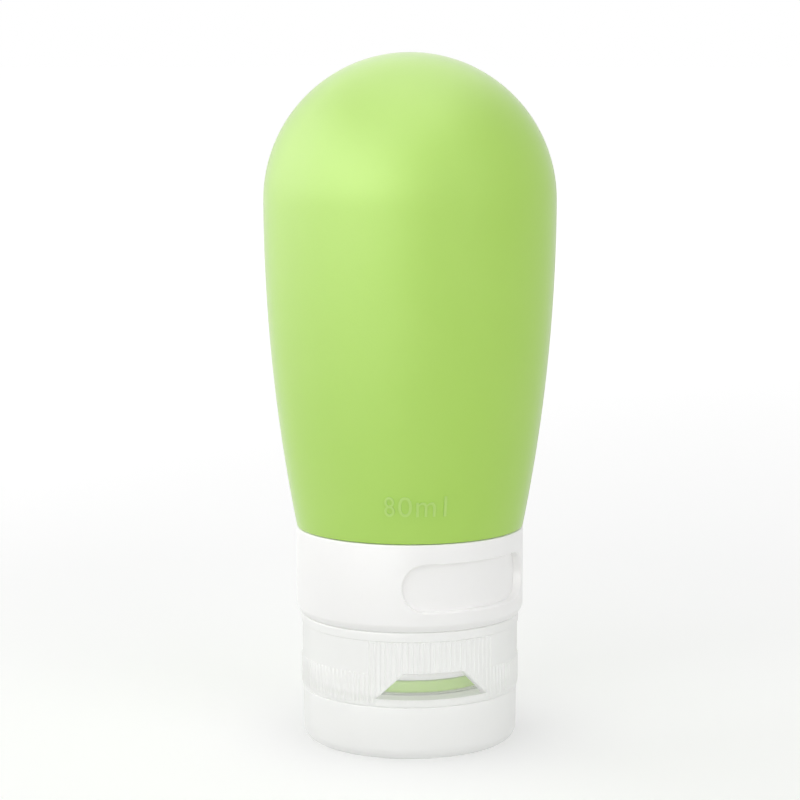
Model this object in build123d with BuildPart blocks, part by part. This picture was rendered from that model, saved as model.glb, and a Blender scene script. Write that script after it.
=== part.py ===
from build123d import *
import math
import os

# A squeezable travel bottle: a soft silicone body whose neck is folded over the tube of a screw
# collar, and a flip-top cap with a drip valve. It stands on its lid, mouth down.
# Millimetres, +Z up, origin at the centre of the lid's flat face.
# The thumb notch faces -Y and the lid's hinge is at +Y.

# Soft body
belly_diameter = 46.0
taper_height = 51.6
body_wall = 2.2
seat_step = 3.7
seat_wall = 1.7
neck_wall = 1.6
shoulder_floor = 1.8
lip_reach = 0.3
lip_thickness = 1.8
body_edge_radius = 0.5

# Screw collar, sized outwards from its neck tube
neck_tube_diameter = 25.8
neck_tube_wall = 1.2
collar_height = 13.8
collar_wall = 1.25
collar_web = 1.2
collar_edge_chamfer = 0.65
collar_edge_rise = 1.1
collar_rim_radius = 0.3
collar_proud = 0.05

# Window in the collar, which shows a strip of the contents ring
window_width = 23.4
window_height = 7.5
window_turn = 23.5
ring_wall = 1.15
ring_end_gap = 0.6

# Cap base
cap_height = 11.6
cap_wall = 1.2
deck_thickness = 1.25
rim_band_height = 1.3
rim_band_proud = 0.15
thread_gap = 0.7
thread_skirt_wall = 0.8
thread_skirt_drop = 0.7
skirt_gap = 1.6
snap_ring_depth = 1.4
snap_ring_wall = 1.1

# Grip ribs on the cap base
rib_count = 126
rib_width = 0.5
rib_proud = 0.15
rib_flank_angle = 62.0
rib_start = 0.5
rib_band_height = 4.7
rib_field_angle = 70.0

# Thumb notch in the cap base
notch_base_width = 18.5
notch_top_width = 9.9
notch_height = 4.0
notch_draft_angle = 8.0

# Spout, drip valve and the ring that holds the valve
spout_diameter = 4.8
spout_bore = 3.2
spout_tip_gap = 1.5
spout_lip_radius = 0.4
socket_gap = 0.85
socket_wall = 0.7
socket_height = 2.6
valve_diameter = 6.3
valve_flange = 0.8
valve_dome_diameter = 4.0
valve_dome_rise = 1.3
valve_skin = 0.45
valve_slit_length = 2.6
valve_slit_width = 0.12
valve_dome_clearance = 0.3

# Lid
lid_step = 0.1
lid_height = 8.5
lid_wall = 1.1
lid_draft = 0.1
lid_edge_radius = 2.0
lid_inner_radius = 1.0
plug_clearance = 0.35
plug_engagement = 1.4
snap_bead = 0.1
snap_bead_height = 0.6

# Living hinge pads, a middle one and one on each side, on the lid and on the cap base
hinge_pad_width = 3.6
hinge_side_pad_width = 2.0
hinge_pad_pitch = 4.6
hinge_pad_height = 2.8
hinge_pad_proud = 0.35

# Clearances, and one overrun for all cuts
seat_clearance = 0.1
slip_clearance = 0.1
ring_bore_clearance = 0.2
turn_clearance = 0.15
snap_clearance = 0.15
collar_gap = 0.3
overrun = 2.0

# Levels, stacked from the floor up
lid_rim_z = lid_height
deck_bottom_z = lid_rim_z + seat_clearance
deck_top_z = deck_bottom_z + deck_thickness
cap_top_z = deck_bottom_z + cap_height
band_z = cap_top_z - rim_band_height
lip_bottom_z = deck_top_z + seat_clearance
lip_top_z = lip_bottom_z + lip_thickness
tube_end_z = lip_top_z + seat_clearance
collar_bottom_z = cap_top_z + collar_gap
web_top_z = collar_bottom_z + collar_web
collar_top_z = collar_bottom_z + collar_height
body_bottom_z = collar_top_z + seat_clearance
belly_z = collar_top_z + taper_height
body_top_z = belly_z + belly_diameter / 2
seat_floor_z = web_top_z + seat_clearance
window_z = (collar_bottom_z + collar_top_z) / 2

# Radii, worked out from the neck tube outwards
tube_r = neck_tube_diameter / 2
tube_inner_r = tube_r - neck_tube_wall
neck_r = tube_inner_r - slip_clearance
mouth_r = neck_r - neck_wall
lip_r = tube_r + lip_reach
seat_r = neck_r + seat_step
ring_inner_r = seat_r + ring_bore_clearance
ring_r = ring_inner_r + ring_wall
collar_inner_r = ring_r + turn_clearance
collar_r = collar_inner_r + collar_wall
shoulder_r = collar_r - collar_proud
belly_r = belly_diameter / 2
thread_skirt_inner_r = tube_r + thread_gap
thread_skirt_r = thread_skirt_inner_r + thread_skirt_wall
cap_inner_r = thread_skirt_r + skirt_gap
cap_r = cap_inner_r + cap_wall
band_r = cap_r + rim_band_proud
lid_r = cap_r - lid_step
lid_inner_r = lid_r - lid_wall
snap_ring_r = lid_inner_r - snap_bead - snap_clearance

# Spout, valve and plug, which share one upright axis beside the mouth's wall
valve_r = valve_diameter / 2
socket_inner_r = valve_r + slip_clearance
socket_r = socket_inner_r + socket_wall
spout_y = socket_gap + socket_r - mouth_r
spout_tip_z = lid_wall + spout_tip_gap
retainer_inner_r = valve_dome_diameter / 2 + valve_dome_clearance
plug_r = spout_bore / 2 - plug_clearance
plug_top_z = spout_tip_z + plug_engagement

# Upright planes and axes that the turned pieces share
spout_plane = Plane(origin=(0, spout_y, 0), x_dir=(1, 0, 0), z_dir=(0, -1, 0))
spout_axis = Axis((0, spout_y, 0), (0, 0, 1))
window_plane = Plane.XZ.rotated((0, 0, window_turn))
notch_plane = Plane(origin=(0, -band_r, 0), x_dir=(-1, 0, 0), z_dir=(0, 1, 0))
notch_depth = band_r - math.sqrt(cap_inner_r**2 - (notch_base_width / 2) ** 2)


def ring_section(outer_r, inner_r, bottom_z, top_z):
    """Draw a ring's cross-section in the open sketch, as a rectangle beside the axis."""
    with Locations((inner_r, bottom_z)):
        Rectangle(outer_r - inner_r, top_z - bottom_z, align=(Align.MIN, Align.MIN))


def hinge_pad_row(inner_r):
    """Draw the three hinge pads in the open sketch, from a radius out to the pads' face."""
    depth = cap_r + hinge_pad_proud - inner_r
    with Locations((0, inner_r + depth / 2)):
        Rectangle(hinge_pad_width, depth)
        with GridLocations(2 * hinge_pad_pitch, 0, 2, 1):
            Rectangle(hinge_side_pad_width, depth)


# Soft body: a round dome, one long arc down to the shoulder, a seat inside the collar, and a neck
# that runs through the collar's tube and folds out over its end as the sealing lip.
with BuildPart() as bottle_body:
    with BuildSketch(Plane.XZ):
        inner_shoulder_r = shoulder_r - body_wall
        inner_seat_r = seat_r - seat_wall
        inner_floor_z = seat_floor_z + shoulder_floor
        with BuildLine():
            CenterArc((0, belly_z), belly_r, start_angle=0, arc_size=90)
            TangentArc((belly_r, belly_z), (shoulder_r, body_bottom_z), tangent=(0, -1))
            Line((shoulder_r, body_bottom_z), (seat_r, body_bottom_z))
            Line((seat_r, body_bottom_z), (seat_r, seat_floor_z + seat_r - neck_r))
            TangentArc(
                (seat_r, seat_floor_z + seat_r - neck_r), (neck_r, seat_floor_z), tangent=(0, -1)
            )
            Polyline(
                (neck_r, seat_floor_z),
                (neck_r, lip_top_z),
                (lip_r, lip_top_z),
                (lip_r, lip_bottom_z),
                (mouth_r, lip_bottom_z),
                (mouth_r, inner_floor_z),
            )
            TangentArc(
                (inner_seat_r, inner_floor_z + inner_seat_r - mouth_r),
                (mouth_r, inner_floor_z),
                tangent=(0, -1),
            )
            Polyline(
                (inner_seat_r, inner_floor_z + inner_seat_r - mouth_r),
                (inner_seat_r, body_bottom_z),
                (inner_shoulder_r, body_bottom_z + body_wall),
            )
            TangentArc(
                (belly_r - body_wall, belly_z),
                (inner_shoulder_r, body_bottom_z + body_wall),
                tangent=(0, -1),
            )
            CenterArc((0, belly_z), belly_r - body_wall, start_angle=0, arc_size=90)
            Line((0, body_top_z - body_wall), (0, body_top_z))
        make_face()
    revolve(axis=Axis.Z)
    shoulder_edge = bottle_body.edges().filter_by(
        lambda e: e.geom_type == GeomType.CIRCLE
        and abs(e.radius - shoulder_r) < slip_clearance
        and abs(e.center().Z - body_bottom_z) < slip_clearance
    )
    fillet(shoulder_edge, body_edge_radius)
bottle_body.part.label = "bottle_body"

# Screw collar: an outer sleeve with a chamfered foot, a web, and the threaded neck tube.
with BuildPart() as collar:
    with BuildSketch(Plane.XZ):
        with BuildLine():
            Polyline(
                (collar_inner_r, collar_top_z),
                (collar_r, collar_top_z),
                (collar_r, collar_bottom_z + collar_edge_rise),
                (collar_r - collar_edge_chamfer, collar_bottom_z),
                (tube_r, collar_bottom_z),
                (tube_r, tube_end_z),
                (tube_inner_r, tube_end_z),
                (tube_inner_r, web_top_z),
                (collar_inner_r, web_top_z),
                close=True,
            )
        make_face()
    revolve(axis=Axis.Z)
    rim_edges = collar.edges().group_by(Axis.Z)[-1]
    fillet(rim_edges, collar_rim_radius)
    with BuildSketch(window_plane):
        with Locations((0, window_z)):
            SlotOverall(window_width, window_height)
    extrude(amount=collar_r + overrun, mode=Mode.SUBTRACT)
collar.part.label = "collar"

# Contents ring: it turns inside the collar, behind the window.
with BuildPart() as contents_ring:
    with BuildSketch(Plane.XZ):
        ring_section(
            ring_r,
            ring_inner_r,
            seat_floor_z,
            collar_top_z - ring_end_gap,
        )
    revolve(axis=Axis.Z)
contents_ring.part.label = "contents_ring"

# Cap base: a ribbed outer skirt with a thumb notch, then the deck, the threaded inner skirt, the
# snap ring for the lid, the spout, the valve's socket and the hinge pads.
with BuildPart() as cap_base:
    with BuildSketch(Plane.XZ):
        with BuildLine():
            Polyline(
                (cap_inner_r, deck_bottom_z),
                (cap_r, deck_bottom_z),
                (cap_r, band_z),
                (band_r, band_z),
                (band_r, cap_top_z),
                (cap_inner_r, cap_top_z),
                close=True,
            )
        make_face()
    revolve(axis=Axis.Z)

    # A low band of ribs all the way round, and tall ribs on both sides of the notch
    rib_pitch = 360 / rib_count
    tall_rib_count = round(rib_field_angle / rib_pitch) + 1
    tall_rib_start = -90 - rib_pitch * (tall_rib_count - 1) / 2
    rib_z = deck_bottom_z + rib_start
    with BuildSketch(Plane.XY.offset(rib_z)):
        with PolarLocations(cap_r, rib_count, start_angle=tall_rib_start):
            Trapezoid(rib_width, 2 * rib_proud, rib_flank_angle, rotation=-90)
    extrude(amount=rib_band_height)
    with BuildSketch(Plane.XY.offset(rib_z + rib_band_height)):
        with PolarLocations(
            cap_r,
            tall_rib_count,
            start_angle=tall_rib_start,
            angular_range=rib_pitch * (tall_rib_count - 1),
            endpoint=True,
        ):
            Trapezoid(rib_width, 2 * rib_proud, rib_flank_angle, rotation=-90)
    extrude(amount=band_z - rib_z - rib_band_height)

    # The notch narrows inwards through the skirt
    with BuildSketch(notch_plane):
        with BuildLine():
            Polyline(
                (-notch_base_width / 2, deck_top_z),
                (notch_base_width / 2, deck_top_z),
                (notch_top_width / 2, deck_top_z + notch_height),
                (-notch_top_width / 2, deck_top_z + notch_height),
                close=True,
            )
        make_face()
    extrude(amount=notch_depth, taper=notch_draft_angle, mode=Mode.SUBTRACT)

    with BuildSketch(Plane.XZ):
        ring_section(cap_r, 0, deck_bottom_z, deck_top_z)
    revolve(axis=Axis.Z)
    with BuildSketch(Plane.XZ):
        ring_section(
            thread_skirt_r,
            thread_skirt_inner_r,
            deck_top_z,
            cap_top_z - thread_skirt_drop,
        )
        ring_section(
            snap_ring_r,
            snap_ring_r - snap_ring_wall,
            deck_bottom_z - snap_ring_depth,
            deck_bottom_z,
        )
    revolve(axis=Axis.Z)

    # Spout below the deck, the valve's socket above it, and one bore through both
    with BuildSketch(spout_plane):
        ring_section(spout_diameter / 2, 0, spout_tip_z, deck_bottom_z)
        ring_section(socket_r, socket_inner_r, deck_top_z, deck_top_z + socket_height)
    revolve(axis=spout_axis)
    spout_tip = cap_base.edges().filter_by(GeomType.CIRCLE).group_by(Axis.Z)[0]
    fillet(spout_tip, spout_lip_radius)
    with BuildSketch(Plane.XY.offset(deck_top_z)):
        with Locations((0, spout_y)):
            Circle(spout_bore / 2)
    extrude(amount=spout_tip_z - deck_top_z - overrun, mode=Mode.SUBTRACT)

    # Hinge pads
    with BuildSketch(Plane.XY.offset(deck_bottom_z)):
        hinge_pad_row(cap_inner_r)
    extrude(amount=hinge_pad_height)
cap_base.part.label = "cap_base"

# Drip valve: a flange and a thin dome with a crossed slit.
with BuildPart() as drip_valve:
    valve_bottom_z = deck_top_z + seat_clearance / 2
    valve_top_z = valve_bottom_z + valve_flange
    dome_r = valve_dome_diameter / 2
    with BuildSketch(spout_plane):
        with BuildLine():
            Polyline(
                (dome_r - valve_skin, valve_bottom_z),
                (valve_r, valve_bottom_z),
                (valve_r, valve_top_z),
                (dome_r, valve_top_z),
            )
            EllipticalCenterArc(
                (0, valve_top_z), dome_r, valve_dome_rise, start_angle=0, arc_size=90
            )
            EllipticalCenterArc(
                (0, valve_top_z),
                dome_r - valve_skin,
                valve_dome_rise - valve_skin,
                start_angle=0,
                arc_size=90,
            )
            Line((0, valve_top_z + valve_dome_rise - valve_skin), (0, valve_top_z + valve_dome_rise))
            Line((dome_r - valve_skin, valve_top_z), (dome_r - valve_skin, valve_bottom_z))
        make_face()
    revolve(axis=spout_axis)
    with BuildSketch(Plane.XY.offset(valve_top_z)):
        with Locations((0, spout_y)):
            Rectangle(valve_slit_length, valve_slit_width)
            Rectangle(valve_slit_width, valve_slit_length)
    extrude(amount=valve_dome_rise + overrun, mode=Mode.SUBTRACT)
drip_valve.part.label = "drip_valve"

# Valve retainer: a ring pressed into the socket over the valve's flange.
with BuildPart() as valve_retainer:
    with BuildSketch(spout_plane):
        ring_section(
            valve_r,
            retainer_inner_r,
            valve_top_z + seat_clearance / 2,
            deck_top_z + socket_height,
        )
    revolve(axis=spout_axis)
valve_retainer.part.label = "valve_retainer"

# Lid: a shallow cup with a rounded foot, a bead that snaps over the cap's ring, a plug for the
# spout and its half of the hinge pads.
with BuildPart() as lid:
    with BuildSketch(Plane.XZ):
        with BuildLine():
            Polyline(
                (0, 0),
                (lid_r - lid_draft, 0),
                (lid_r, lid_rim_z),
                (lid_inner_r, lid_rim_z),
                (lid_inner_r, lid_rim_z - snap_bead_height / 2),
                (lid_inner_r - snap_bead, lid_rim_z - snap_bead_height),
                (lid_inner_r, lid_rim_z - 1.5 * snap_bead_height),
                (lid_inner_r - lid_draft, lid_wall),
                (0, lid_wall),
                close=True,
            )
        make_face()
    revolve(axis=Axis.Z)
    fillet(lid.edges().group_by(Axis.Z)[0], lid_edge_radius)
    inner_corner = lid.edges().filter_by(
        lambda e: e.geom_type == GeomType.CIRCLE and abs(e.center().Z - lid_wall) < slip_clearance
    )
    fillet(inner_corner, lid_inner_radius)
    with BuildSketch(Plane.XY.offset(lid_wall)):
        with Locations((0, spout_y)):
            Circle(plug_r)
    extrude(amount=plug_top_z - lid_wall)
    plug_tip = lid.edges().filter_by(
        lambda e: e.geom_type == GeomType.CIRCLE
        and abs(e.radius - plug_r) < slip_clearance
        and abs(e.center().Z - plug_top_z) < slip_clearance
    )
    fillet(plug_tip, plug_r - slip_clearance)
    with BuildSketch(Plane.XY.offset(lid_rim_z)):
        hinge_pad_row(lid_inner_r)
    extrude(amount=-hinge_pad_height)
lid.part.label = "lid"

os.makedirs("parts", exist_ok=True)
for piece in (
    bottle_body,
    collar,
    contents_ring,
    cap_base,
    drip_valve,
    valve_retainer,
    lid,
):
    export_step(piece.part, f"parts/{piece.part.label}.step")
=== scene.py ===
"""A travel silicone bottle standing on its flip-top lid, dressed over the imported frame."""
import math

import bmesh
import bpy
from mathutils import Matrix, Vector


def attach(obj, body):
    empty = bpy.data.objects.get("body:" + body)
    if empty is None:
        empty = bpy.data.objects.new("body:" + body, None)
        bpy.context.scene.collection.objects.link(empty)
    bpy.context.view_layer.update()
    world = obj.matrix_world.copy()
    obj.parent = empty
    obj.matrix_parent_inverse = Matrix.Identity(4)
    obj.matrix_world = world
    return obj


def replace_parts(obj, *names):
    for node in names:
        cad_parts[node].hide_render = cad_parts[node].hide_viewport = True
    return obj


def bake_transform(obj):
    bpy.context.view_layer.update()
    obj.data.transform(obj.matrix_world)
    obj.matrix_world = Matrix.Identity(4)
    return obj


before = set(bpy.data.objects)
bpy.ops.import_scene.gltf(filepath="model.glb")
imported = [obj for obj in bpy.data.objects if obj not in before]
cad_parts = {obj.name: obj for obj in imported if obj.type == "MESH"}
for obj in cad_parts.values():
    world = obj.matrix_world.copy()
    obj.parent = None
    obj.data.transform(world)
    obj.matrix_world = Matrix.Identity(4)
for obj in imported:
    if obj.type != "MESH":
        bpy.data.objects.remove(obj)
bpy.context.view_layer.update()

MM = 0.001

# Roundings that several mouldings share
FINE_ROUND = 0.2 * MM
SOFT_ROUND = 0.3 * MM
FULL_ROUND = 0.4 * MM
EDGE_ROUND = 0.15 * MM
ROUND_STEPS = 5

# Angles above which an edge looks sharp, in degrees
SHARP_ANGLE = 35.0
FOLD_ANGLE = 60.0
MARK_ANGLE = 50.0

# Lengths below these count as nothing
ON_AXIS = 1e-7
WELD_DISTANCE = 1e-7

# Steps and segments of the turned pieces
DOME_STEPS = 40
DOME_INNER_STEPS = 32
TAPER_STEPS = 60
BODY_SEGMENTS = 192
COLLAR_SEGMENTS = 256
RING_SEGMENTS = 192
LID_SEGMENTS = 256
SPOUT_SEGMENTS = 64
PLUG_SEGMENTS = 48
SEGMENTS_PER_RIB = 8
WINDOW_STEPS = 24
NOTCH_STEPS = 16

# Body
BELLY_R = 23.0 * MM
SHOULDER_R = 18.0 * MM
BODY_BOTTOM_Z = 34.4 * MM
BELLY_Z = 85.9 * MM
BODY_WALL = 2.2 * MM
SEAT_R = 15.3 * MM
SEAT_WALL = 1.7 * MM
SEAT_FLOOR_Z = 21.8 * MM
SHOULDER_FLOOR = 1.8 * MM
SHOULDER_EDGE = 0.6 * MM
SEAT_ROUND = 3.6 * MM
SEAT_INNER_ROUND = 3.0 * MM
MOUTH_ROUND = 1.0 * MM
NECK_R = 11.6 * MM
MOUTH_R = 10.0 * MM
LIP_R = 13.2 * MM
LIP_BOTTOM_Z = 9.95 * MM
LIP_TOP_Z = 11.75 * MM

# Collar
COLLAR_R = 18.05 * MM
COLLAR_INNER_R = 16.8 * MM
COLLAR_BOTTOM_Z = 20.5 * MM
COLLAR_TOP_Z = 34.3 * MM
WEB_TOP_Z = 21.7 * MM
TUBE_R = 12.9 * MM
TUBE_INNER_R = 11.7 * MM
TUBE_END_Z = 11.85 * MM
CHAMFER = 0.65 * MM
CHAMFER_RISE = 1.1 * MM
CHAMFER_ROUND = 0.9 * MM
WINDOW_HALF_ANGLE = math.radians(40.4)
WINDOW_TURN = math.radians(23.5)
WINDOW_Z = 27.4 * MM
WINDOW_HEIGHT = 7.5 * MM
# Radius of the window's cutter from the inside out, and how much its outline grows there
WINDOW_CUT = (
    (COLLAR_INNER_R - 0.6 * MM, 0.0),
    (COLLAR_R - 0.18 * MM, 0.0),
    (COLLAR_R + 0.3 * MM, 0.42 * MM),
)
RING_R = 16.79 * MM
RING_WALL = 1.15 * MM
RING_TOP_Z = 33.7 * MM

# Cap base
CAP_R = 17.2 * MM
BAND_R = 17.35 * MM
CAP_INNER_R = 16.0 * MM
DECK_BOTTOM_Z = 8.6 * MM
DECK_TOP_Z = 9.85 * MM
CAP_TOP_Z = 20.45 * MM
BAND_Z = 18.9 * MM
BAND_RAMP_FROM_Z = BAND_Z - 0.02 * MM
BAND_RAMP_TO_Z = BAND_Z + 0.1 * MM
BAND_ROUND = 0.08 * MM
SKIRT_R = 14.4 * MM
SKIRT_INNER_R = 13.6 * MM
SKIRT_TOP_Z = 19.5 * MM
SNAP_R = 15.75 * MM
SNAP_INNER_R = 14.65 * MM
SNAP_BOTTOM_Z = 7.2 * MM
RIB_COUNT = 126
RIB_PROUD = 0.15 * MM
RIB_Z = 9.1 * MM
RIB_BAND_TOP_Z = 13.8 * MM
RIB_FIELD = math.radians(35.0)
RIB_RAMP = 0.12 * MM
NOTCH_BASE_ANGLE = math.radians(31.0)
NOTCH_TOP_ANGLE = math.radians(16.3)
NOTCH_HEIGHT = 4.0 * MM
NOTCH_SINK = 0.01 * MM
# As WINDOW_CUT, for the notch
NOTCH_CUT = (
    (CAP_INNER_R - 0.9 * MM, -0.1 * MM),
    (CAP_R - 0.15 * MM, 0.0),
    (CAP_R + 0.5 * MM, 0.65 * MM),
)

# Spout and its bore
SPOUT_Y = -5.2 * MM
SPOUT_R = 2.4 * MM
SPOUT_BORE_R = 1.6 * MM
SPOUT_TIP_Z = 2.6 * MM
SOCKET_R = 3.95 * MM
SOCKET_INNER_R = 3.25 * MM
SOCKET_TOP_Z = 12.45 * MM
# How far a piece runs into the deck or the floor that it is joined to, and a bore past it
JOIN_DEPTH = 0.3 * MM
BORE_OVERRUN = 1.0 * MM

# Lid
LID_R = 17.1 * MM
LID_FOOT_R = 17.0 * MM
LID_INNER_R = 16.0 * MM
LID_FLOOR = 1.1 * MM
LID_RIM_Z = 8.54 * MM
LID_FOOT_ROUND = 2.0 * MM
LID_FLOOR_ROUND = 1.0 * MM
LID_FLOOR_R = LID_FOOT_R - 1.1 * MM
LID_STEPS = 10
# The snap bead's upper edge, crest and lower edge, counted down from the rim
BEAD_DROPS = (0.4 * MM, 0.65 * MM, 0.9 * MM)
BEAD_PROUD = 0.1 * MM
BEAD_ROUND = 0.1 * MM
PLUG_R = 1.25 * MM
PLUG_TOP_Z = 4.0 * MM
PLUG_ROUND = 1.1 * MM
PLUG_MARGIN = 0.3 * MM

# Hinge at the back
HINGE_Z = 8.55 * MM
PAD_FACE_Y = 17.55 * MM
PAD_HEIGHT = 2.8 * MM
# Middle and width of each pad
PAD_PLACES = ((-4.6 * MM, 2.0 * MM), (0.0, 3.6 * MM), (4.6 * MM, 2.0 * MM))
PAD_DEPTH = 1.0 * MM
PAD_BEVEL = 0.12 * MM
FILM_THICKNESS = 0.22 * MM
FILM_LOOP = 0.35 * MM
FILM_STEPS = 12
FILM_NARROWER = 0.6 * MM
# Where the film's flat ends begin and stop, counted from the hinge's line
FILM_END_FROM, FILM_END_TO = 1.6 * MM, 0.9 * MM

# Screw thread: two starts; the cap's ridges run midway between the collar's
THREAD_LEAD = 4.2 * MM
THREAD_STARTS = 2
THREAD_LOW_Z = 12.6 * MM
COLLAR_THREAD_TOP_Z = 19.2 * MM
CAP_THREAD_TOP_Z = 19.0 * MM
COLLAR_CREST_R = 13.4 * MM
CAP_CREST_R = 13.25 * MM
RIDGE_ROOT_HALF = 0.45 * MM
RIDGE_CREST_HALF = 0.18 * MM
RIDGE_SINK = 0.05 * MM
RIDGE_STEPS_PER_TURN = 72
# A ridge reaches its full height after one part in this many of its length
RIDGE_FADE = 6

# The capacity mark's letters: text, left edge and width, from the mark's middle
MARK_LETTERS = (
    ("8", -4.87 * MM, 1.55 * MM),
    ("0", -2.74 * MM, 2.10 * MM),
    ("m", 0.04 * MM, 2.95 * MM),
    ("l", 4.28 * MM, 0.42 * MM),
)
MARK_HEIGHT = 3.15 * MM
MARK_X_HEIGHT_SHARE = 0.73
MARK_RELIEF = 0.16 * MM
MARK_SINK = 0.05 * MM
MARK_Z = 40.4 * MM
MARK_TURN = math.radians(-10.1)
MARK_THINNER = -0.004
MARK_CURVE_STEPS = 6

# Noise and grain of every surface
PATCH_DETAIL = 3.0
GRAIN_DETAIL = 4.0
GRAIN_STRENGTH = 0.5

# Natural plastic
DECK_EDGE_FADE = 0.2 * MM
OUTER_WALL_ALPHA = 0.80
INNER_WALL_ALPHA = 0.18
WALL_PASSES_LAMPS = 0.99
WALL_PASSES_BOUNCES = 0.92

# Camera, in the photograph's frame
VIEW_TURN = math.radians(-13.0)
CAMERA_DISTANCE = 0.400
CAMERA_HEIGHT = 0.1086
CAMERA_PITCH = math.radians(7.74)
IMAGE_SIZE = 800
FOCAL_PX = 2547.0
AXIS_PX = 410.0
SENSOR = 36.0
CLIP_START, CLIP_END = 0.01, 50.0

# Studio
# The lamps' azimuths are counted from the camera's side, in degrees, positive to the right.
WORLD_LIGHT = 0.57
LAMP_TARGET = (0.0, 0.0, 0.055)
LAMPS = (
    # name, azimuth, height, distance, size, watts, seen in reflections only
    ("key", -30.0, 0.75, 1.0, 0.9, 2.6, False),
    ("fill", 40.0, 0.45, 1.3, 1.0, 3.6, False),
    ("left", -110.0, 0.15, 0.8, 1.2, 4.3, False),
    ("left_card", -85.0, 0.32, 0.8, 1.2, 11.0, True),
    ("front_card", -30.0, 0.15, 0.9, 1.0, 12.0, True),
    ("top_card", 10.0, 1.20, 0.35, 1.2, 11.0, True),
    ("back_card", 180.0, 1.00, 0.60, 1.2, 7.0, True),
)
FLOOR_RADIUS = 20.0
FLOOR_SEGMENTS = 96
FLOOR_COLOUR = (0.93, 0.93, 0.93, 1.0)
FLOOR_ROUGHNESS = 0.9
WHITE = (1.0, 1.0, 1.0, 1.0)
# The floor's own glow makes it read white: little near the object, where lamps light it.
FLOOR_GLOW_NEAR = 0.22
FLOOR_GLOW_FAR = 0.48
FLOOR_GLOW_FROM = 0.15
FLOOR_GLOW_TO = 0.9


def arc(centre, radius, start, end, steps):
    """Points along an arc in the (r, z) plane, angles in degrees."""
    points = []
    for i in range(steps + 1):
        a = math.radians(start + (end - start) * i / steps)
        points.append((centre[0] + radius * math.cos(a), centre[1] + radius * math.sin(a)))
    return points


def rounded(corners, steps=ROUND_STEPS, closed=True):
    """A polyline through (r, z, rounding) corners; a rounding of 0 keeps a corner sharp."""
    points = [Vector(corner[:2]) for corner in corners]
    last = len(points) - 1
    out = []
    for i, here in enumerate(points):
        radius = corners[i][2]
        if radius == 0 or (not closed and i in (0, last)):
            out.append(tuple(here))
            continue
        before = (points[i - 1] - here).normalized()
        after = (points[(i + 1) % len(points)] - here).normalized()
        half = before.angle(after) / 2
        cut = radius / math.tan(half)
        centre = here + (before + after).normalized() * (radius / math.sin(half))
        first = here + before * cut - centre
        turn = first.angle_signed(here + after * cut - centre)
        for step in range(steps + 1):
            a = -turn * step / steps
            c, s = math.cos(a), math.sin(a)
            out.append(
                (centre.x + first.x * c - first.y * s, centre.y + first.x * s + first.y * c)
            )
    return out


def new_object(name, mesh_builder, sharp_angle=SHARP_ANGLE):
    """Turn a bmesh into an object in the scene, smooth except at its sharp edges."""
    mesh = bpy.data.meshes.new(name)
    bmesh.ops.recalc_face_normals(mesh_builder, faces=mesh_builder.faces)
    mesh_builder.to_mesh(mesh)
    mesh_builder.free()
    mesh.shade_smooth()
    mesh.set_sharp_from_angle(angle=math.radians(sharp_angle))
    obj = bpy.data.objects.new(name, mesh)
    bpy.context.scene.collection.objects.link(obj)
    return obj


def lathe(name, outline, segments, centre=(0.0, 0.0), closed=True, relief=None):
    """Turn an outline of (r, z) points about an upright axis; points on the axis become poles."""
    bm = bmesh.new()
    rings = []
    for index, (r, z) in enumerate(outline):
        if r < ON_AXIS:
            rings.append([bm.verts.new((centre[0], centre[1], z))])
            continue
        ring = []
        for s in range(segments):
            a = 2 * math.pi * s / segments
            radius = r + (relief(index, a) if relief else 0.0)
            x = centre[0] + radius * math.cos(a)
            y = centre[1] + radius * math.sin(a)
            ring.append(bm.verts.new((x, y, z)))
        rings.append(ring)
    pairs = list(zip(rings, rings[1:]))
    if closed:
        pairs.append((rings[-1], rings[0]))
    for low, high in pairs:
        if len(low) == 1 and len(high) == 1:
            continue
        for s in range(segments):
            t = (s + 1) % segments
            if len(low) == 1:
                bm.faces.new((low[0], high[t], high[s]))
            elif len(high) == 1:
                bm.faces.new((low[s], low[t], high[0]))
            else:
                bm.faces.new((low[s], low[t], high[t], high[s]))
    return new_object(name, bm)


def wedge(name, loops, end_rows=6):
    """A closed solid through loops of (angle, z) points, each on a cylinder of its own radius."""
    bm = bmesh.new()

    def loop_row(radius, points, share):
        middle_a = sum(a for a, z in points) / len(points)
        middle_z = sum(z for a, z in points) / len(points)
        row = []
        for a, z in points:
            angle = middle_a + (a - middle_a) * share
            height = middle_z + (z - middle_z) * share
            row.append(bm.verts.new((radius * math.cos(angle), radius * math.sin(angle), height)))
        return row

    shares = [i / end_rows for i in range(1, end_rows + 1)]
    rows = [loop_row(*loops[0], share) for share in shares]
    rows += [loop_row(*loop, 1.0) for loop in loops[1:]]
    rows += [loop_row(*loops[-1], share) for share in reversed(shares[:-1])]
    for inner, outer in zip(rows, rows[1:]):
        for i in range(len(inner)):
            j = (i + 1) % len(inner)
            bm.faces.new((inner[i], inner[j], outer[j], outer[i]))
    bm.faces.new(rows[0])
    bm.faces.new(rows[-1])
    bmesh.ops.triangulate(bm, faces=bm.faces)
    return new_object(name, bm)


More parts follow.
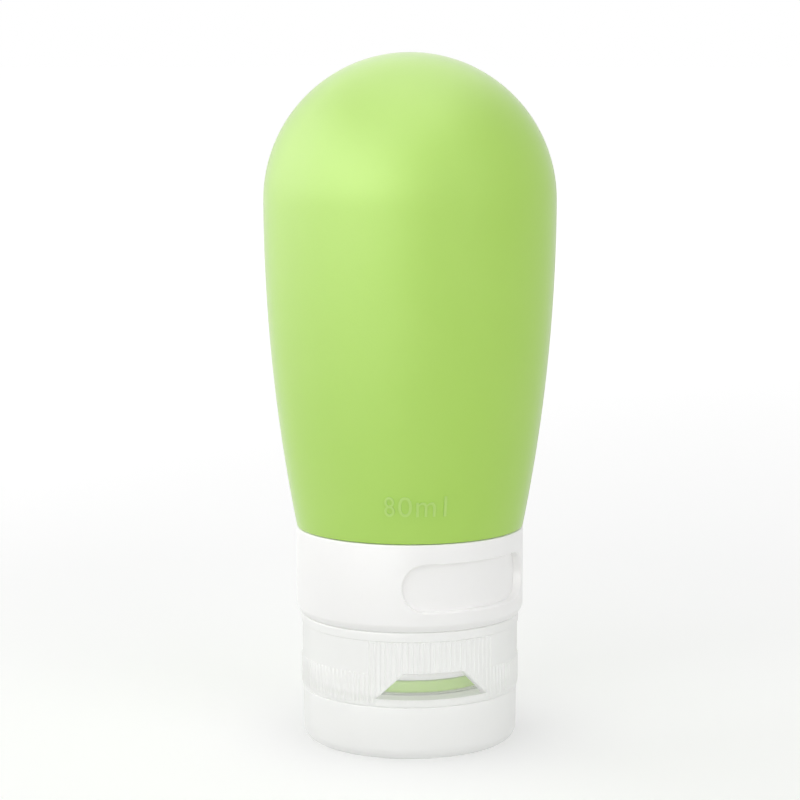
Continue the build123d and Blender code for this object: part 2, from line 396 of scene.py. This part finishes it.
def combine(obj, tool, operation, sharp_angle=SHARP_ANGLE):
    """Apply a boolean with the tool, then delete the tool. Flat triangles keep the cut clean."""
    bm = bmesh.new()
    bm.from_mesh(obj.data)
    bmesh.ops.triangulate(bm, faces=bm.faces)
    bm.to_mesh(obj.data)
    bm.free()
    modifier = obj.modifiers.new("shape", "BOOLEAN")
    modifier.operation = operation
    modifier.solver = "EXACT"
    modifier.object = tool
    depsgraph = bpy.context.evaluated_depsgraph_get()
    mesh = bpy.data.meshes.new_from_object(obj.evaluated_get(depsgraph))
    obj.modifiers.remove(modifier)
    old = obj.data
    obj.data = mesh
    bpy.data.meshes.remove(old)
    bpy.data.objects.remove(tool)
    mesh.shade_smooth()
    mesh.set_sharp_from_angle(angle=math.radians(sharp_angle))
    return obj


def box_object(name, low, high, bevel):
    """A block between two corners, with rounded edges."""
    bm = bmesh.new()
    bmesh.ops.create_cube(bm, size=1.0)
    size = Vector(high) - Vector(low)
    middle = (Vector(high) + Vector(low)) / 2
    bmesh.ops.scale(bm, vec=size, verts=bm.verts)
    bmesh.ops.translate(bm, vec=middle, verts=bm.verts)
    bmesh.ops.bevel(bm, geom=bm.edges, offset=bevel, segments=3, affect="EDGES", profile=0.5)
    return new_object(name, bm)


def sample_edge(start, end, steps):
    """Evenly spaced points from start towards end, without the end."""
    return [
        tuple(here + (there - here) * i / steps for here, there in zip(start, end))
        for i in range(steps)
    ]


# Materials


def mix_colour(nodes, links, factor, first, second):
    """Blend two colours by a factor socket and return the colour socket."""
    mix = nodes.new("ShaderNodeMix")
    mix.data_type = "RGBA"
    # A Mix node's colour sockets share their names with others, so they go by number.
    share, colour_a, colour_b, result = 0, 6, 7, 2
    mix.inputs[colour_a].default_value = (*first, 1.0)
    mix.inputs[colour_b].default_value = (*second, 1.0)
    links.new(factor, mix.inputs[share])
    return mix.outputs[result]


def map_range(nodes, links, value, source, target):
    """Map a socket's value from one range onto another and return the result."""
    node = nodes.new("ShaderNodeMapRange")
    sockets = ("From Min", "From Max", "To Min", "To Max")
    for socket, number in zip(sockets, (*source, *target)):
        node.inputs[socket].default_value = number
    links.new(value, node.inputs["Value"])
    return node.outputs["Result"]


def math_node(nodes, links, operation, *values):
    """A Math node fed by sockets or plain numbers; returns its result."""
    node = nodes.new("ShaderNodeMath")
    node.operation = operation
    for place, value in enumerate(values):
        if isinstance(value, float):
            node.inputs[place].default_value = value
        else:
            links.new(value, node.inputs[place])
    return node.outputs["Value"]


def vector_length(nodes, links, vector):
    """The length of a vector socket."""
    node = nodes.new("ShaderNodeVectorMath")
    node.operation = "LENGTH"
    links.new(vector, node.inputs[0])
    return node.outputs["Value"]


def noise(nodes, links, place, scale, detail):
    """The value of a noise texture."""
    texture = nodes.new("ShaderNodeTexNoise")
    texture.inputs["Scale"].default_value = scale
    texture.inputs["Detail"].default_value = detail
    links.new(place, texture.inputs["Vector"])
    return texture.outputs["Fac"]


def surface(name, colours, patch_scale, grain_scale, grain_depth, roughness, settings):
    """A moulded surface: soft colour patches, uneven gloss and a fine grain."""
    material = bpy.data.materials.new(name)
    material.use_nodes = True
    nodes, links = material.node_tree.nodes, material.node_tree.links
    shader = nodes["Principled BSDF"]
    place = nodes.new("ShaderNodeTexCoord").outputs["Object"]
    patches = noise(nodes, links, place, patch_scale, PATCH_DETAIL)
    grain = noise(nodes, links, place, grain_scale, GRAIN_DETAIL)
    links.new(mix_colour(nodes, links, patches, *colours), shader.inputs["Base Color"])
    gloss = map_range(nodes, links, grain, (0.0, 1.0), roughness)
    links.new(gloss, shader.inputs["Roughness"])
    bump = nodes.new("ShaderNodeBump")
    bump.inputs["Strength"].default_value = GRAIN_STRENGTH
    bump.inputs["Distance"].default_value = grain_depth
    links.new(grain, bump.inputs["Height"])
    links.new(bump.outputs["Normal"], shader.inputs["Normal"])
    for socket, value in settings.items():
        shader.inputs[socket].default_value = value
    return material


def silicone(name, colours, roughness):
    """Satin silicone with a pale, powdery sheen towards its edges."""
    return surface(
        name,
        colours,
        patch_scale=90.0,
        grain_scale=2600.0,
        grain_depth=0.03 * MM,
        roughness=roughness,
        settings={
            "Subsurface Weight": 0.10,
            "Subsurface Radius": (0.6, 1.0, 0.3),
            "Subsurface Scale": 0.002,
            "Sheen Weight": 0.8,
            "Sheen Roughness": 0.3,
            "Specular IOR Level": 0.7,
            "IOR": 1.5,
        },
    )


def silicone_green():
    """The body's green."""
    colours = ((0.392, 0.655, 0.083), (0.417, 0.675, 0.103))
    return silicone("silicone_green", colours, roughness=(0.44, 0.54))


def silicone_mark_painted_highlight():
    """The raised mark: the same silicone, painted a little paler as a painted highlight for the
    light that its thin edges catch.
    """
    # Paler than the body's green: painted highlight on the mark's edges.
    colours = ((0.450, 0.705, 0.152), (0.475, 0.720, 0.172))
    return silicone("silicone_mark_painted_highlight", colours, roughness=(0.36, 0.46))


def white_plastic():
    """Opaque white moulded plastic with a satin skin."""
    return surface(
        "white_plastic",
        colours=((0.950, 0.945, 0.935), (0.970, 0.965, 0.955)),
        patch_scale=70.0,
        grain_scale=3200.0,
        grain_depth=0.012 * MM,
        roughness=(0.30, 0.40),
        settings={
            "Subsurface Weight": 0.15,
            "Subsurface Radius": (1.0, 1.0, 0.95),
            "Subsurface Scale": 0.0006,
            "IOR": 1.49,
        },
    )


def natural_plastic():
    """Natural translucent plastic: milky, but clearer in the thin walls above the deck."""
    material = surface(
        "natural_plastic",
        colours=((0.985, 0.990, 0.970), (0.990, 0.995, 0.980)),
        patch_scale=80.0,
        grain_scale=2800.0,
        grain_depth=0.01 * MM,
        roughness=(0.26, 0.36),
        settings={
            "Subsurface Weight": 0.10,
            "Subsurface Radius": (1.0, 1.0, 1.0),
            "Subsurface Scale": 0.0006,
            "IOR": 1.49,
        },
    )
    nodes, links = material.node_tree.nodes, material.node_tree.links
    place = nodes.new("ShaderNodeTexCoord").outputs["Object"]
    flat = nodes.new("ShaderNodeVectorMath")
    flat.operation = "MULTIPLY"
    flat.inputs[1].default_value = (1.0, 1.0, 0.0)
    links.new(place, flat.inputs[0])
    reach = vector_length(nodes, links, flat.outputs["Vector"])
    height = nodes.new("ShaderNodeSeparateXYZ")
    links.new(place, height.inputs["Vector"])
    outside = map_range(nodes, links, reach, (SKIRT_R, SNAP_R), (0.0, 1.0))
    deck_edge = (DECK_TOP_Z + DECK_EDGE_FADE, DECK_TOP_Z)
    below = map_range(nodes, links, height.outputs["Z"], deck_edge, (0.0, 1.0))
    milky = math_node(nodes, links, "MAXIMUM", outside, below)
    wall = map_range(nodes, links, milky, (0.0, 1.0), (INNER_WALL_ALPHA, OUTER_WALL_ALPHA))

    # Milky walls pass on most of the light that falls on them, so it is bright inside.
    ray = nodes.new("ShaderNodeLightPath").outputs
    lit = math_node(nodes, links, "MULTIPLY", ray["Is Shadow Ray"], WALL_PASSES_LAMPS)
    passed = math_node(
        nodes, links, "MULTIPLY_ADD", ray["Is Diffuse Ray"], WALL_PASSES_BOUNCES, lit
    )
    kept = math_node(nodes, links, "SUBTRACT", 1.0, passed)
    seen = math_node(nodes, links, "MULTIPLY", wall, kept)
    links.new(seen, nodes["Principled BSDF"].inputs["Alpha"])
    return material


def clear_silicone():
    """Milky clear silicone for the valve."""
    return surface(
        "clear_silicone",
        colours=((0.78, 0.80, 0.79), (0.84, 0.86, 0.85)),
        patch_scale=200.0,
        grain_scale=3000.0,
        grain_depth=0.01 * MM,
        roughness=(0.35, 0.5),
        settings={"Alpha": 0.8, "IOR": 1.41},
    )


def dress(obj, material, body):
    """Give a piece its material and its body."""
    obj.data.materials.clear()
    obj.data.materials.append(material)
    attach(obj, body)
    return obj


# Pieces


def body_radius(z):
    """Outer radius of the silicone body at height z, between the shoulder and the dome's top."""
    if z >= BELLY_Z:
        return math.sqrt(max(BELLY_R**2 - (z - BELLY_Z) ** 2, 0.0))
    fall = BELLY_R - SHOULDER_R
    height = BELLY_Z - BODY_BOTTOM_Z
    bend = (height**2 + fall**2) / (2 * fall)
    return BELLY_R - bend + math.sqrt(bend**2 - (BELLY_Z - z) ** 2)


def build_body(material):
    """The silicone body: dome, taper, seat in the collar, neck and lip, all in one shell."""
    outer = arc((0, BELLY_Z), BELLY_R, 90, 0, DOME_STEPS)
    outer[0] = (0.0, BELLY_Z + BELLY_R)
    for i in range(1, TAPER_STEPS):
        z = BELLY_Z + (BODY_BOTTOM_Z - BELLY_Z) * i / TAPER_STEPS
        outer.append((body_radius(z), z))
    edge_z = BODY_BOTTOM_Z + SHOULDER_EDGE
    floor_z = SEAT_FLOOR_Z + SHOULDER_FLOOR
    low = rounded(
        [
            (body_radius(edge_z), edge_z, 0),
            (SHOULDER_R, BODY_BOTTOM_Z, FINE_ROUND),
            (SEAT_R, BODY_BOTTOM_Z, 0),
            (SEAT_R, SEAT_FLOOR_Z, SEAT_ROUND),
            (NECK_R, SEAT_FLOOR_Z, 0),
            (NECK_R, LIP_TOP_Z, 0),
            (LIP_R, LIP_TOP_Z, FULL_ROUND),
            (LIP_R, LIP_BOTTOM_Z, FULL_ROUND),
            (MOUTH_R, LIP_BOTTOM_Z, SOFT_ROUND),
            (MOUTH_R, floor_z, MOUTH_ROUND),
            (SEAT_R - SEAT_WALL, floor_z, SEAT_INNER_ROUND),
            (SEAT_R - SEAT_WALL, BODY_BOTTOM_Z, 0),
            (SHOULDER_R - BODY_WALL, BODY_BOTTOM_Z + BODY_WALL, 0),
        ],
        closed=False,
    )
    inner = []
    for i in range(1, TAPER_STEPS):
        z = BODY_BOTTOM_Z + BODY_WALL + (BELLY_Z - BODY_BOTTOM_Z - BODY_WALL) * i / TAPER_STEPS
        inner.append((body_radius(z) - BODY_WALL, z))
    inner += arc((0, BELLY_Z), BELLY_R - BODY_WALL, 0, 90, DOME_INNER_STEPS)
    inner[-1] = (0.0, BELLY_Z + BELLY_R - BODY_WALL)
    body = lathe("silicone_body", outer + low + inner, BODY_SEGMENTS, closed=False)
    dress(body, material, "bottle")
    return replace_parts(body, "bottle_body")


def build_collar(material):
    """The screw collar with its window, cut with a small flare at the outer edge."""
    outline = rounded(
        [
            (COLLAR_INNER_R, COLLAR_TOP_Z, FINE_ROUND),
            (COLLAR_R, COLLAR_TOP_Z, SOFT_ROUND),
            (COLLAR_R, COLLAR_BOTTOM_Z + CHAMFER_RISE, CHAMFER_ROUND),
            (COLLAR_R - CHAMFER, COLLAR_BOTTOM_Z, SOFT_ROUND),
            (TUBE_R, COLLAR_BOTTOM_Z, SOFT_ROUND),
            (TUBE_R, TUBE_END_Z, FINE_ROUND),
            (TUBE_INNER_R, TUBE_END_Z, FINE_ROUND),
            (TUBE_INNER_R, WEB_TOP_Z, 0),
            (COLLAR_INNER_R, WEB_TOP_Z, SOFT_ROUND),
        ]
    )
    collar = lathe("screw_collar", outline, COLLAR_SEGMENTS)
    loops = [(radius, window_loop(grow)) for radius, grow in WINDOW_CUT]
    combine(collar, wedge("window_cut", loops), "DIFFERENCE")
    dress(collar, material, "collar")
    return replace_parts(collar, "collar")


def window_loop(grow):
    """The window's outline as (angle, z) points, with half-round ends, grown by a length."""
    middle = -math.pi / 2 + WINDOW_TURN
    half_height = WINDOW_HEIGHT / 2 + grow
    straight = COLLAR_R * WINDOW_HALF_ANGLE + grow - half_height
    points = []
    for side in (1, -1):
        for i in range(WINDOW_STEPS + 1):
            a = -side * math.pi / 2 + math.pi * i / WINDOW_STEPS
            points.append((side * straight + half_height * math.cos(a), half_height * math.sin(a)))
        end = side * half_height
        edge = sample_edge((side * straight, end), (-side * straight, end), WINDOW_STEPS)
        points += edge[1:]
    return [(middle + s / COLLAR_R, WINDOW_Z + z) for s, z in points]


def build_contents_ring(material):
    """The plain ring behind the window."""
    outline = rounded(
        [
            (RING_R - RING_WALL, SEAT_FLOOR_Z, FINE_ROUND),
            (RING_R, SEAT_FLOOR_Z, FINE_ROUND),
            (RING_R, RING_TOP_Z, FINE_ROUND),
            (RING_R - RING_WALL, RING_TOP_Z, FINE_ROUND),
        ]
    )
    ring = lathe("contents_band", outline, RING_SEGMENTS)
    dress(ring, material, "contents_ring")
    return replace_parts(ring, "contents_ring")


def rib_wave(angle):
    """Height share of the grip ribs at an angle: half-round ribs with flats between them."""
    return max(0.0, math.cos(RIB_COUNT * (angle + math.pi / 2)))


def from_front(angle):
    """How far an angle is from the front, where the notch is."""
    return abs((angle + math.pi / 2 + math.pi) % (2 * math.pi) - math.pi)


def cap_outline():
    """The cap base's outline of (r, z) points, and the rows of the low and the tall ribs."""
    under = rounded(
        [
            (0.0, DECK_BOTTOM_Z, 0),
            (SNAP_INNER_R, DECK_BOTTOM_Z, FINE_ROUND),
            (SNAP_INNER_R, SNAP_BOTTOM_Z, FINE_ROUND),
            (SNAP_R, SNAP_BOTTOM_Z, SOFT_ROUND),
            (SNAP_R, DECK_BOTTOM_Z, 0),
        ],
        closed=False,
    )[:-1]
    foot = rounded(
        [
            (SNAP_R, DECK_BOTTOM_Z, 0),
            (CAP_R, DECK_BOTTOM_Z, EDGE_ROUND),
            (CAP_R, RIB_Z, 0),
        ],
        closed=False,
    )[:-1]
    skirt = [
        (CAP_R, RIB_Z),
        (CAP_R, RIB_Z + RIB_RAMP),
        (CAP_R, RIB_BAND_TOP_Z - RIB_RAMP),
        (CAP_R, RIB_BAND_TOP_Z),
        (CAP_R, BAND_Z - RIB_RAMP),
        (CAP_R, BAND_RAMP_FROM_Z),
    ]
    crown = rounded(
        [
            (CAP_R, BAND_RAMP_FROM_Z, 0),
            (BAND_R, BAND_RAMP_TO_Z, BAND_ROUND),
            (BAND_R, CAP_TOP_Z, SOFT_ROUND),
            (CAP_INNER_R, CAP_TOP_Z, FINE_ROUND),
            (CAP_INNER_R, DECK_TOP_Z, FULL_ROUND),
            (SKIRT_R, DECK_TOP_Z, SOFT_ROUND),
            (SKIRT_R, SKIRT_TOP_Z, FINE_ROUND),
            (SKIRT_INNER_R, SKIRT_TOP_Z, FINE_ROUND),
            (SKIRT_INNER_R, DECK_TOP_Z, FINE_ROUND),
            (0.0, DECK_TOP_Z, 0),
        ],
        closed=False,
    )[1:]
    start = len(under) + len(foot)
    low_rows = (start + 1, start + 2)
    tall_rows = (start + 2, start + 3, start + 4)
    return under + foot + skirt + crown, low_rows, tall_rows


def build_cap_base(material):
    """Cap base: ribbed skirt, deck, threaded inner skirt, snap ring, notch, spout and socket."""
    outline, low_rows, tall_rows = cap_outline()

    def relief(index, angle):
        if index == low_rows[0] and from_front(angle) <= NOTCH_BASE_ANGLE:
            return 0.0
        if index in low_rows:
            return RIB_PROUD * rib_wave(angle)
        if index in tall_rows and from_front(angle) <= RIB_FIELD:
            return RIB_PROUD * rib_wave(angle)
        return 0.0

    segments = RIB_COUNT * SEGMENTS_PER_RIB
    base = lathe("cap_skirt", outline, segments, closed=False, relief=relief)
    loops = [(radius, notch_loop(grow)) for radius, grow in NOTCH_CUT]
    combine(base, wedge("notch_cut", loops), "DIFFERENCE")

    spout_root_z = DECK_BOTTOM_Z + JOIN_DEPTH
    spout = [
        (0.0, SPOUT_TIP_Z, 0),
        (SPOUT_R, SPOUT_TIP_Z, FULL_ROUND),
        (SPOUT_R, spout_root_z, 0),
        (0.0, spout_root_z, 0),
    ]
    combine(base, turned_at_spout("spout_tube", spout, SPOUT_SEGMENTS, False), "UNION")
    socket_root_z = DECK_TOP_Z - JOIN_DEPTH
    socket = [
        (SOCKET_INNER_R, socket_root_z, 0),
        (SOCKET_R, socket_root_z, 0),
        (SOCKET_R, SOCKET_TOP_Z, FINE_ROUND),
        (SOCKET_INNER_R, SOCKET_TOP_Z, FINE_ROUND),
    ]
    combine(base, turned_at_spout("valve_socket", socket, SPOUT_SEGMENTS, True), "UNION")
    bore_low_z, bore_high_z = SPOUT_TIP_Z - BORE_OVERRUN, DECK_TOP_Z + BORE_OVERRUN
    bore = [
        (0.0, bore_low_z, 0),
        (SPOUT_BORE_R, bore_low_z, 0),
        (SPOUT_BORE_R, bore_high_z, 0),
        (0.0, bore_high_z, 0),
    ]
    combine(base, turned_at_spout("bore_cut", bore, SPOUT_SEGMENTS, False), "DIFFERENCE")
    dress(base, material, "cap")
    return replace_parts(base, "cap_base")


def turned_at_spout(name, corners, segments, closed):
    """A piece turned about the spout's axis from (r, z, rounding) corners."""
    outline = rounded(corners, closed=closed)
    return lathe(name, outline, segments, centre=(0.0, SPOUT_Y), closed=closed)


def notch_loop(grow):
    """The thumb notch's outline as (angle, z) points, grown outwards by a length."""
    middle = -math.pi / 2
    bottom = DECK_TOP_Z - NOTCH_SINK
    top = DECK_TOP_Z + NOTCH_HEIGHT + grow
    base = NOTCH_BASE_ANGLE + grow / CAP_R
    crest = NOTCH_TOP_ANGLE + grow / CAP_R
    corners = [(-base, bottom), (base, bottom), (crest, top), (-crest, top)]
    points = []
    for corner, following in zip(corners, corners[1:] + corners[:1]):
        points += sample_edge(corner, following, NOTCH_STEPS)
    return [(middle + a, z) for a, z in points]


def build_lid(material):
    """The lid: a cup with a rounded foot, a snap bead and the plug for the spout."""
    bead_top, bead_crest, bead_end = (LID_RIM_Z - drop for drop in BEAD_DROPS)
    outline = rounded(
        [
            (0.0, 0.0, 0),
            (LID_FOOT_R, 0.0, LID_FOOT_ROUND),
            (LID_R, LID_RIM_Z, EDGE_ROUND),
            (LID_INNER_R, LID_RIM_Z, FINE_ROUND),
            (LID_INNER_R, bead_top, 0),
            (LID_INNER_R - BEAD_PROUD, bead_crest, BEAD_ROUND),
            (LID_INNER_R, bead_end, 0),
            (LID_FLOOR_R, LID_FLOOR, LID_FLOOR_ROUND),
            (PLUG_R + PLUG_MARGIN, LID_FLOOR, 0),
            (0.0, LID_FLOOR, 0),
        ],
        steps=LID_STEPS,
        closed=False,
    )
    lid = lathe("flip_lid", outline, LID_SEGMENTS, closed=False)
    plug_root_z = LID_FLOOR - JOIN_DEPTH
    plug = [
        (0.0, plug_root_z, 0),
        (PLUG_R, plug_root_z, 0),
        (PLUG_R, PLUG_TOP_Z, PLUG_ROUND),
        (0.0, PLUG_TOP_Z, 0),
    ]
    combine(lid, turned_at_spout("plug_pin", plug, PLUG_SEGMENTS, False), "UNION")
    dress(lid, material, "lid")
    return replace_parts(lid, "lid")


def build_hinge(material):
    """Hinge pads on both halves, and the thin films that loop between them."""
    halves = (
        ("cap", DECK_BOTTOM_Z, DECK_BOTTOM_Z + PAD_HEIGHT, CAP_R - PAD_DEPTH),
        ("lid", LID_RIM_Z - PAD_HEIGHT, LID_RIM_Z, LID_R - PAD_DEPTH),
    )
    for number, (x, width) in enumerate(PAD_PLACES):
        for body, low_z, high_z, inner_y in halves:
            pad = box_object(
                f"hinge_pad_{body}_{number}",
                (x - width / 2, inner_y, low_z),
                (x + width / 2, PAD_FACE_Y, high_z),
                PAD_BEVEL,
            )
            dress(pad, material, body)
        film = hinge_film(f"hinge_film_{number}", x, width - FILM_NARROWER)
        film.data.materials.append(material)
        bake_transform(film)


def strip_object(name, bm, rows):
    """Skin the rows of a strip with faces, close its ends and make it an object."""
    for low, high in zip(rows, rows[1:]):
        for i in range(len(low)):
            j = (i + 1) % len(low)
            bm.faces.new((low[i], low[j], high[j], high[i]))
    bm.faces.new(rows[0])
    bm.faces.new(rows[-1])
    return new_object(name, bm, FOLD_ANGLE)


def hinge_film(name, x, width):
    """A thin strip that leaves one pad's face, loops outwards and joins the other pad's face."""
    path = [(PAD_FACE_Y, HINGE_Z + FILM_END_FROM), (PAD_FACE_Y, HINGE_Z + FILM_END_TO)]
    path += arc((PAD_FACE_Y, HINGE_Z), FILM_LOOP, 90, -90, FILM_STEPS)
    path += [(PAD_FACE_Y, HINGE_Z - FILM_END_TO), (PAD_FACE_Y, HINGE_Z - FILM_END_FROM)]
    bm = bmesh.new()
    rows = []
    for i, (y, z) in enumerate(path):
        before = Vector(path[max(i - 1, 0)])
        after = Vector(path[min(i + 1, len(path) - 1)])
        along = (after - before).normalized()
        out = Vector((-along.y, along.x)) * FILM_THICKNESS / 2
        rows.append(
            [
                bm.verts.new((x + side * width / 2, y + out.x * face, z + out.y * face))
                for side, face in ((-1, -1), (1, -1), (1, 1), (-1, 1))
            ]
        )
    return strip_object(name, bm, rows)


def thread_ridge(name, root_r, crest_r, low_z, high_z, phase):
    """One start of the screw thread: a ridge wound on a cylinder, fading in and out at its ends."""
    turns = (high_z - low_z) / THREAD_LEAD
    steps = int(turns * RIDGE_STEPS_PER_TURN)
    bm = bmesh.new()
    rows = []
    for i in range(steps + 1):
        share = i / steps
        a = phase + 2 * math.pi * turns * share
        z = low_z + (high_z - low_z) * share
        fade = min(1.0, RIDGE_FADE * share, RIDGE_FADE * (1 - share))
        crest = root_r + (crest_r - root_r) * fade
        sunk = root_r - math.copysign(RIDGE_SINK, crest_r - root_r)
        row = []
        for r, dz in (
            (sunk, -RIDGE_ROOT_HALF),
            (crest, -RIDGE_CREST_HALF),
            (crest, RIDGE_CREST_HALF),
            (sunk, RIDGE_ROOT_HALF),
        ):
            row.append(bm.verts.new((r * math.cos(a), r * math.sin(a), z + dz)))
        rows.append(row)
    return strip_object(name, bm, rows)


def build_threads(collar_material, cap_material):
    """Matching two-start threads on the collar's tube and inside the cap's inner skirt."""
    between = THREAD_LEAD / THREAD_STARTS / 2
    for start in range(THREAD_STARTS):
        phase = 2 * math.pi * start / THREAD_STARTS
        ridge = thread_ridge(
            f"collar_thread_{start}",
            TUBE_R,
            COLLAR_CREST_R,
            THREAD_LOW_Z,
            COLLAR_THREAD_TOP_Z,
            phase,
        )
        dress(ridge, collar_material, "collar")
        ridge = thread_ridge(
            f"cap_thread_{start}",
            SKIRT_INNER_R,
            CAP_CREST_R,
            THREAD_LOW_Z + between,
            CAP_THREAD_TOP_Z,
            phase,
        )
        dress(ridge, cap_material, "cap")


def wrap_on_body(obj, middle_angle, middle_z, sink):
    """Bend flat lettering, drawn in x and y with its depth in z, onto the body's surface."""
    for vertex in obj.data.vertices:
        s, height, depth = vertex.co
        z = middle_z + height
        r = body_radius(z) - sink + depth
        a = middle_angle + s / body_radius(middle_z)
        vertex.co = (r * math.cos(a), r * math.sin(a), z)


def build_capacity_mark(material):
    """The raised capacity mark low on the front of the body."""
    placed = []
    for text, left, size_x in MARK_LETTERS:
        curve = bpy.data.curves.new("mark_" + text, "FONT")
        curve.body = text
        curve.size = 1.0
        curve.resolution_u = MARK_CURVE_STEPS
        curve.offset = MARK_THINNER
        curve.extrude = 0.5
        obj = bpy.data.objects.new("mark_" + text, curve)
        bpy.context.scene.collection.objects.link(obj)
        depsgraph = bpy.context.evaluated_depsgraph_get()
        mesh = bpy.data.meshes.new_from_object(obj.evaluated_get(depsgraph))
        bpy.data.objects.remove(obj)
        lows = [min(v.co[i] for v in mesh.vertices) for i in range(3)]
        highs = [max(v.co[i] for v in mesh.vertices) for i in range(3)]
        height = MARK_HEIGHT if text != "m" else MARK_HEIGHT * MARK_X_HEIGHT_SHARE
        for v in mesh.vertices:
            v.co.x = left + (v.co.x - lows[0]) / (highs[0] - lows[0]) * size_x
            v.co.y = (v.co.y - lows[1]) / (highs[1] - lows[1]) * height - MARK_HEIGHT / 2
            v.co.z = (v.co.z - lows[2]) / (highs[2] - lows[2]) * (MARK_RELIEF + MARK_SINK)
        placed.append(mesh)
    bm = bmesh.new()
    for mesh in placed:
        bm.from_mesh(mesh)
        bpy.data.meshes.remove(mesh)
    bmesh.ops.remove_doubles(bm, verts=bm.verts, dist=WELD_DISTANCE)
    bmesh.ops.triangulate(bm, faces=bm.faces)
    mark = new_object("capacity_mark", bm, MARK_ANGLE)
    wrap_on_body(mark, -math.pi / 2 + MARK_TURN, MARK_Z, MARK_SINK)
    return dress(mark, material, "bottle")


def build_camera():
    """The photograph's camera: level with the dome, looking slightly down and slightly left."""
    data = bpy.data.cameras.new("camera")
    data.sensor_width = SENSOR
    data.lens = FOCAL_PX / IMAGE_SIZE * SENSOR
    data.clip_start = CLIP_START
    data.clip_end = CLIP_END
    camera = bpy.data.objects.new("camera", data)
    camera.location = (
        CAMERA_DISTANCE * math.sin(VIEW_TURN),
        -CAMERA_DISTANCE * math.cos(VIEW_TURN),
        CAMERA_HEIGHT,
    )
    aim_left = math.atan((AXIS_PX - IMAGE_SIZE / 2) / FOCAL_PX)
    camera.rotation_euler = (math.pi / 2 - CAMERA_PITCH, 0.0, VIEW_TURN + aim_left)
    bpy.context.scene.collection.objects.link(camera)
    bpy.context.scene.camera = camera


def add_light(name, turn, height, distance, size, power, card):
    """A soft square lamp aimed at the object; a card shows in reflections but lights nothing."""
    data = bpy.data.lights.new(name, "AREA")
    data.shape = "SQUARE"
    data.size = size
    data.energy = power
    lamp = bpy.data.objects.new(name, data)
    azimuth = VIEW_TURN + math.radians(turn)
    lamp.location = (distance * math.sin(azimuth), -distance * math.cos(azimuth), height)
    aim = Vector(LAMP_TARGET) - Vector(lamp.location)
    lamp.rotation_euler = aim.to_track_quat("-Z", "Y").to_euler()
    lamp.visible_diffuse = not card
    lamp.visible_camera = False
    bpy.context.scene.collection.objects.link(lamp)


def bright_rays(nodes, links):
    """A factor that is 1 for camera, glossy and transmission rays and 0 for the rest."""
    ray = nodes.new("ShaderNodeLightPath").outputs
    total = math_node(nodes, links, "MAXIMUM", ray["Is Camera Ray"], ray["Is Glossy Ray"])
    return math_node(nodes, links, "MAXIMUM", total, ray["Is Transmission Ray"])


def build_world():
    """White surroundings that light the object at a plain level."""
    world = bpy.data.worlds.new("studio")
    bpy.context.scene.world = world
    world.use_nodes = True
    nodes, links = world.node_tree.nodes, world.node_tree.links
    background = nodes["Background"]
    background.inputs["Color"].default_value = WHITE
    rays = bright_rays(nodes, links)
    strength = map_range(nodes, links, rays, (0.0, 1.0), (WORLD_LIGHT, 1.0))
    links.new(strength, background.inputs["Strength"])


def build_floor():
    """A pale floor that keeps the shadow and fades into the white surroundings."""
    bm = bmesh.new()
    bmesh.ops.create_circle(bm, cap_ends=True, radius=FLOOR_RADIUS, segments=FLOOR_SEGMENTS)
    floor = new_object("studio_floor", bm)
    paint = bpy.data.materials.new("studio_floor")
    paint.use_nodes = True
    nodes, links = paint.node_tree.nodes, paint.node_tree.links
    shader = nodes["Principled BSDF"]
    shader.inputs["Base Color"].default_value = FLOOR_COLOUR
    shader.inputs["Roughness"].default_value = FLOOR_ROUGHNESS
    shader.inputs["Specular IOR Level"].default_value = 0.0
    shader.inputs["Emission Color"].default_value = WHITE
    place = nodes.new("ShaderNodeTexCoord").outputs["Object"]
    reach = vector_length(nodes, links, place)
    spread = map_range(
        nodes,
        links,
        reach,
        (FLOOR_GLOW_FROM, FLOOR_GLOW_TO),
        (FLOOR_GLOW_NEAR, FLOOR_GLOW_FAR),
    )
    glow = math_node(nodes, links, "MULTIPLY", bright_rays(nodes, links), spread)
    links.new(glow, shader.inputs["Emission Strength"])
    floor.data.materials.append(paint)


green = silicone_green()
white = white_plastic()
natural = natural_plastic()
clear = clear_silicone()

build_body(green)
build_collar(white)
build_contents_ring(white)
build_cap_base(natural)
build_lid(natural)
build_hinge(natural)
build_threads(white, natural)
build_capacity_mark(silicone_mark_painted_highlight())
for node, material in (("drip_valve", clear), ("valve_retainer", white)):
    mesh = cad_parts[node].data
    mesh.materials.clear()
    mesh.materials.append(material)

build_camera()
build_world()
build_floor()
for lamp in LAMPS:
    add_light(*lamp)
bpy.context.scene.view_settings.view_transform = "Standard"
